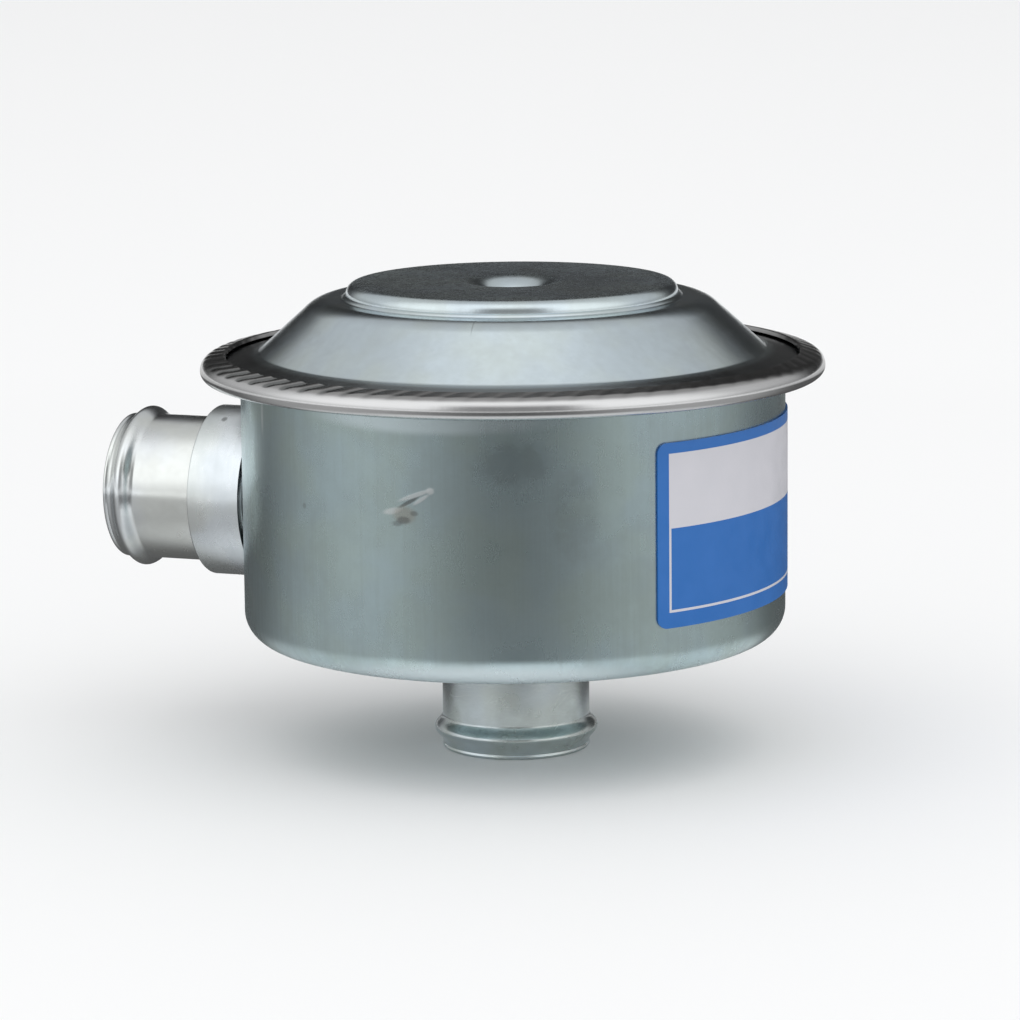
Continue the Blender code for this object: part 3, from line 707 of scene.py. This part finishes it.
# %% The label's strip
def film_strip():
    """A grid bent round the can, with round corners, then given the film's thickness."""
    columns, rows = 160, 8
    radius = CAN_RADIUS + 0.00003
    shape = bmesh.new()
    film = shape.loops.layers.uv.new("film")
    spots = []
    for column in range(columns + 1):
        along = math.sin((column / columns * 2 - 1) * math.pi / 2) * LABEL_LENGTH / 2
        into_corner = max(0.0, abs(along) - (LABEL_LENGTH / 2 - LABEL_CORNER))
        reach = LABEL_HEIGHT / 2 - LABEL_CORNER + math.sqrt(max(0.0, LABEL_CORNER ** 2 - into_corner ** 2))
        angle = LABEL_MIDDLE + along / (radius + GAP)
        line = []
        for row in range(rows + 1):
            up = reach * (row / rows * 2 - 1)
            corner = (radius * math.cos(angle), radius * math.sin(angle), LABEL_Z + up)
            line.append((shape.verts.new(corner), along, up))
        spots.append(line)
    for left, right in zip(spots, spots[1:]):
        for row in range(rows):
            ring = [left[row], right[row], right[row + 1], left[row + 1]]
            face = shape.faces.new([spot[0] for spot in ring])
            for loop, spot in zip(face.loops, ring):
                loop[film].uv = (spot[1], spot[2])
    mesh = bpy.data.meshes.new("printed_label")
    shape.to_mesh(mesh)
    shape.free()
    mesh.materials.append(film_finish())
    strip = bpy.data.objects.new("printed_label", mesh)
    bpy.context.scene.collection.objects.link(strip)
    thicken = strip.modifiers.new("thickness", "SOLIDIFY")
    thicken.thickness = FILM_THICKNESS
    thicken.offset = 1.0
    return settle(strip)


dress(film_strip(), "label_film", "label")

# %% [markdown]
# ## The working parts inside
# The rubber diaphragm is clamped in the rim and carries the plates in its middle. It is fabric with
# rubber on both sides: nearly black, quite dull, and a very fine weave shows through. It is made in
# one pose and rides on no body, and the spring rides on the housing. Plates, rivet, washer and spring seat
# keep the engineering model's shape and only take a finish.

# %% The rubber finish
def rubber_finish():
    finish, tree, shader, place = new_finish("diaphragm_rubber")
    threads = 1.0
    for direction in ("X", "Y"):
        feeds = {"Vector": place, "Scale": 620.0, "Distortion": 0.6, "Detail": 1.0}
        thread = add_node(tree, "TexWave", feeds, bands_direction=direction).outputs["Fac"]
        threads = maths(tree, "MULTIPLY", thread, threads)
    dust = noise(tree, place, 0.008, 4.0)
    tree.links.new(blended(tree, dust, (0.018, 0.018, 0.019), (0.045, 0.044, 0.043)), shader.inputs["Base Color"])
    tree.links.new(ease(tree, dust, 0.3, 0.7, 0.55, 0.75), shader.inputs["Roughness"])
    raise_surface(tree, shader, threads, 0.00004)
    return finish

# %% The diaphragm
RUBBER = 0.0006
RUBBER_TOP = 0.0752
RUBBER_EDGE_TOP = 0.0667
ROLL_INNER = 0.0258
ROLL_OUTER = 0.0450

rubber_line = [(0.00265, RUBBER_TOP), (0.0150, RUBBER_TOP)]
for step in range(25):
    share = step / 24
    eased = share * share * (3 - 2 * share)
    rubber_line.append((ROLL_INNER + (ROLL_OUTER - ROLL_INNER) * share,
                        RUBBER_TOP + (RUBBER_EDGE_TOP - RUBBER_TOP) * eased))
rubber_line.append((0.05095, RUBBER_EDGE_TOP))
rolling_diaphragm = thickened(turned("rolling_diaphragm", rubber_line, 128, rubber_finish(), closed=False), RUBBER)
dress(rolling_diaphragm, "black_rubber", "diaphragm", body=None)
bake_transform(rolling_diaphragm)

# %% The spring
WIRE = 0.0016
SPRING_RADIUS = 0.0191
SPRING_TURNS = 6.5
WIRE_LOW = 0.0227
WIRE_HIGH = 0.0724


def wire_height(turn):
    """One closed turn at each end and open turns between."""
    closed = WIRE + GAP
    if turn < 1:
        return WIRE_LOW + closed * turn
    if turn > SPRING_TURNS - 1:
        return WIRE_HIGH - closed * (SPRING_TURNS - turn)
    return WIRE_LOW + closed + (WIRE_HIGH - WIRE_LOW - 2 * closed) * (turn - 1) / (SPRING_TURNS - 2)


def coil_spring(finish):
    curve = bpy.data.curves.new("coil_spring", "CURVE")
    curve.dimensions = "3D"
    curve.bevel_depth = WIRE / 2
    curve.bevel_resolution = 4
    curve.use_fill_caps = True
    spline = curve.splines.new("POLY")
    count = round(SPRING_TURNS * 48)
    spline.points.add(count)
    for index, point in enumerate(spline.points):
        turn = index * SPRING_TURNS / count
        angle = 2 * math.pi * turn
        point.co = (SPRING_RADIUS * math.cos(angle), SPRING_RADIUS * math.sin(angle), wire_height(turn), 1.0)
    curve.materials.append(finish)
    wire = bpy.data.objects.new("coil_spring", curve)
    bpy.context.scene.collection.objects.link(wire)
    bpy.context.view_layer.update()
    mesh = bpy.data.meshes.new_from_object(wire.evaluated_get(bpy.context.evaluated_depsgraph_get()))
    bpy.data.objects.remove(wire)
    mesh.shade_smooth()
    spring = bpy.data.objects.new("coil_spring", mesh)
    bpy.context.scene.collection.objects.link(spring)
    return spring


spring_wire = zinc_finish("spring_wire", (0.42, 0.43, 0.44), (0.30, 0.31, 0.32), 0.34, (0.0011, 0.0011, 0.0011))
spring = dress(coil_spring(spring_wire), "spring_steel", "main_spring")
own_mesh(spring)

# %% Finishes for the pieces that keep their shape
plate_zinc = zinc_finish("plate_zinc", (0.58, 0.60, 0.60), (0.48, 0.49, 0.49), 0.33, (0.0025, 0.0025, 0.0025))
rivet_metal = zinc_finish("rivet_metal", (0.55, 0.56, 0.56), (0.44, 0.45, 0.45), 0.36, (0.0017, 0.0017, 0.0017))
kept_shapes = {
    "piston_plate": plate_zinc, "valve_plate": plate_zinc, "spring_seat": plate_zinc,
    "centre_rivet": rivet_metal, "rivet_washer": rivet_metal, "inlet_braze": braze_metal,
}
for name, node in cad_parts.items():
    for place in node.material_slots:
        place.material = kept_shapes.get(name, wall_zinc)
print("kept from the model:", ", ".join(kept_shapes))

# %% [markdown]
# ## The studio
# Metal shows its surroundings, so half of its look is the studio. The object stands on a plain pale
# floor under a large soft lamp, in an evenly lit room. A photographer also puts up cards just outside
# the picture, so that a bright object gets dark edges: dark behind the object, white overhead and in
# front, with a grey strip in the middle of the white, and a grey one on the floor. The cards here are
# seen in reflections only, and stand for the lamp there. They throw no shadow, and they leave the
# light on the floor and on matt things as it is.

# %% The room, the floor and the lamp
ROOM_LIGHT = 0.92
LAMP_WATTS = 7.0
FLOOR_TONE = (0.925, 0.93, 0.935)

room = bpy.data.worlds.new("room")
bpy.context.scene.world = room
room.use_nodes = True
room.node_tree.nodes["Background"].inputs["Color"].default_value = (1.0, 1.0, 1.0, 1.0)
room.node_tree.nodes["Background"].inputs["Strength"].default_value = ROOM_LIGHT


def floor_finish():
    finish, tree, shader, place = new_finish("studio_floor")
    tone = noise(tree, place, 0.33, 2.0)
    colour = blended(tree, tone, tinted(FLOOR_TONE, (0.995, 0.995, 0.995)), FLOOR_TONE)
    tree.links.new(colour, shader.inputs["Base Color"])
    shader.inputs["Roughness"].default_value = 0.9
    shader.inputs["Specular IOR Level"].default_value = 0.1
    return finish


floor = turned("studio_floor", [(0.0, 0.0), (6.0, 0.0)], 96, floor_finish(), closed=False)

lamp_shape = bpy.data.lights.new("overhead_softbox", "AREA")
lamp_shape.shape = "RECTANGLE"
lamp_shape.size = 2.6
lamp_shape.size_y = 1.9
lamp_shape.energy = LAMP_WATTS
lamp = bpy.data.objects.new("overhead_softbox", lamp_shape)
lamp.visible_glossy = False
toward_front = Vector((math.sin(CAMERA_AZIMUTH), -math.cos(CAMERA_AZIMUTH), 0.0))
lamp_way = (0.42 * toward_front + Vector((0, 0, 1))).normalized()
lamp.location = CAMERA_AIM + 1.7 * lamp_way
lamp.rotation_mode = "QUATERNION"
lamp.rotation_quaternion = (-lamp_way).to_track_quat("-Z", "Y")
bpy.context.scene.collection.objects.link(lamp)

# %% [markdown]
# The cards are a dome and a disc, each with a material that glows softly and fades at its edge.
# Their own X axis points right as the camera sees it and their Y axis points away from the camera.
# Both change by direction: a ramp gives their tone from one side of the room to the other.

# %% The cards
def card_finish(name):
    """A material with nothing in it but the place on the card."""
    finish = bpy.data.materials.new(name)
    finish.use_nodes = True
    tree = finish.node_tree
    tree.nodes.remove(tree.nodes["Principled BSDF"])
    return finish, tree, add_node(tree, "TexCoord").outputs["Object"]


def end_card(tree, tone, share):
    """The card is clear where its share is 0 and shows its tone where it is 1."""
    glow = add_node(tree, "Emission", {"Color": tone, "Strength": 1.0})
    clear = add_node(tree, "BsdfTransparent")
    mixed = add_node(tree, "MixShader", {0: share, 1: clear.outputs[0], 2: glow.outputs[0]})
    tree.links.new(mixed.outputs[0], tree.nodes["Material Output"].inputs["Surface"])


def away_from(tree, vector, way):
    """The angle between a direction and a fixed one, in degrees."""
    feeds = {0: vector, 1: Vector(way).normalized()}
    dot = add_node(tree, "VectorMath", feeds, operation="DOT_PRODUCT").outputs["Value"]
    return maths(tree, "MULTIPLY", maths(tree, "ARCCOSINE", dot), 180 / math.pi)


def ramp(tree, degrees, stops):
    """A smooth line through (degrees, value) stops, as a grey."""
    feeds = {"Fac": maths(tree, "DIVIDE", degrees, 180.0)}
    made = add_node(tree, "ValToRGB", feeds)
    while len(made.color_ramp.elements) < len(stops):
        made.color_ramp.elements.new(0.5)
    for element, (angle, value) in zip(made.color_ramp.elements, stops):
        element.position = angle / 180.0
        element.color = (value, value, value, 1.0)
    return made.outputs["Color"]


DOME_FROM_BEHIND = [(0, 0.08), (12, 0.072), (22, 0.030), (30, 0.045), (38, 0.12), (48, 0.54), (62, 0.62),
                    (80, 0.72), (90, 0.96), (97, 1.12), (104, 1.20), (112, 1.27), (124, 1.30), (150, 1.25),
                    (180, 1.10)]
STRIP_TONE = (0.34, 0.34, 0.34)
BEHIND = (0.11, 1.0, 0.0)
FRONT = (0.0, -1.0, 0.0)
FLOOR_FROM_FRONT = [(0, 0.135), (16, 0.19), (30, 0.33), (45, 0.46), (61, 0.50), (90, 0.40), (115, 0.14),
                    (148, 0.09), (180, 0.28)]


def card_dome():
    finish, tree, place = card_finish("card_dome")
    way = add_node(tree, "VectorMath", {0: place}, operation="NORMALIZE").outputs[0]
    up = add_node(tree, "SeparateXYZ", {"Vector": way}).outputs["Z"]
    tone = ramp(tree, away_from(tree, way, BEHIND), DOME_FROM_BEHIND)
    tone = maths(tree, "MULTIPLY", tone, ease(tree, up, 0.0, 0.34, 0.66, 1.0))
    flat = add_node(tree, "VectorMath", {0: way, 1: (1.0, 1.0, 0.0)}, operation="MULTIPLY").outputs[0]
    level_way = add_node(tree, "VectorMath", {0: flat}, operation="NORMALIZE").outputs[0]
    aside = away_from(tree, level_way, FRONT)
    strip = maths(tree, "MULTIPLY", ease(tree, aside, 34, 16), ease(tree, up, 0.93, 0.50))
    end_card(tree, blended(tree, strip, tone, STRIP_TONE), ease(tree, up, 0.0, 0.04))
    return finish


def floor_card():
    finish, tree, place = card_finish("floor_card")
    flat = add_node(tree, "VectorMath", {0: place, 1: (1.0, 1.0, 0.0)}, operation="MULTIPLY").outputs[0]
    reach = add_node(tree, "VectorMath", {0: flat}, operation="LENGTH").outputs["Value"]
    way = add_node(tree, "VectorMath", {0: flat}, operation="NORMALIZE").outputs[0]
    turn = away_from(tree, way, FRONT)
    tone = ramp(tree, turn, FLOOR_FROM_FRONT)
    far = ease(tree, reach, 0.38, 0.48)
    horizon = ease(tree, reach, 0.46, 1.7)
    gain = weighted(tree, (far, 0.35), (horizon, 0.9))
    tone = weighted(tree, (tone, 1.0), (maths(tree, "MULTIPLY", gain, tone), 1.0), (far, 0.42))
    near = weighted(tree, (ease(tree, turn, 36, 60, 0.070, 0.050), 1.0), (ease(tree, turn, 92, 118), -0.032))
    from_edge = maths(tree, "SUBTRACT", reach, near)
    end_card(tree, tone, ease(tree, from_edge, 0.0, 0.05))
    return finish


def put_up_card(card, height):
    card.matrix_world = Matrix.Translation((0, 0, height)) @ Matrix.Rotation(CAMERA_AZIMUTH, 4, "Z")
    card.visible_camera = card.visible_diffuse = card.visible_shadow = False
    card.visible_transmission = card.visible_volume_scatter = False


dome_line = arc((0.0, 0.0), (2.4, 2.4), 90, -20, 40)
put_up_card(turned("card_dome", dome_line, 96, card_dome(), closed=False), CAMERA_AIM.z)
put_up_card(turned("floor_card", [(0.017, 0.0), (2.2, 0.0)], 96, floor_card(), closed=False), 0.0005)
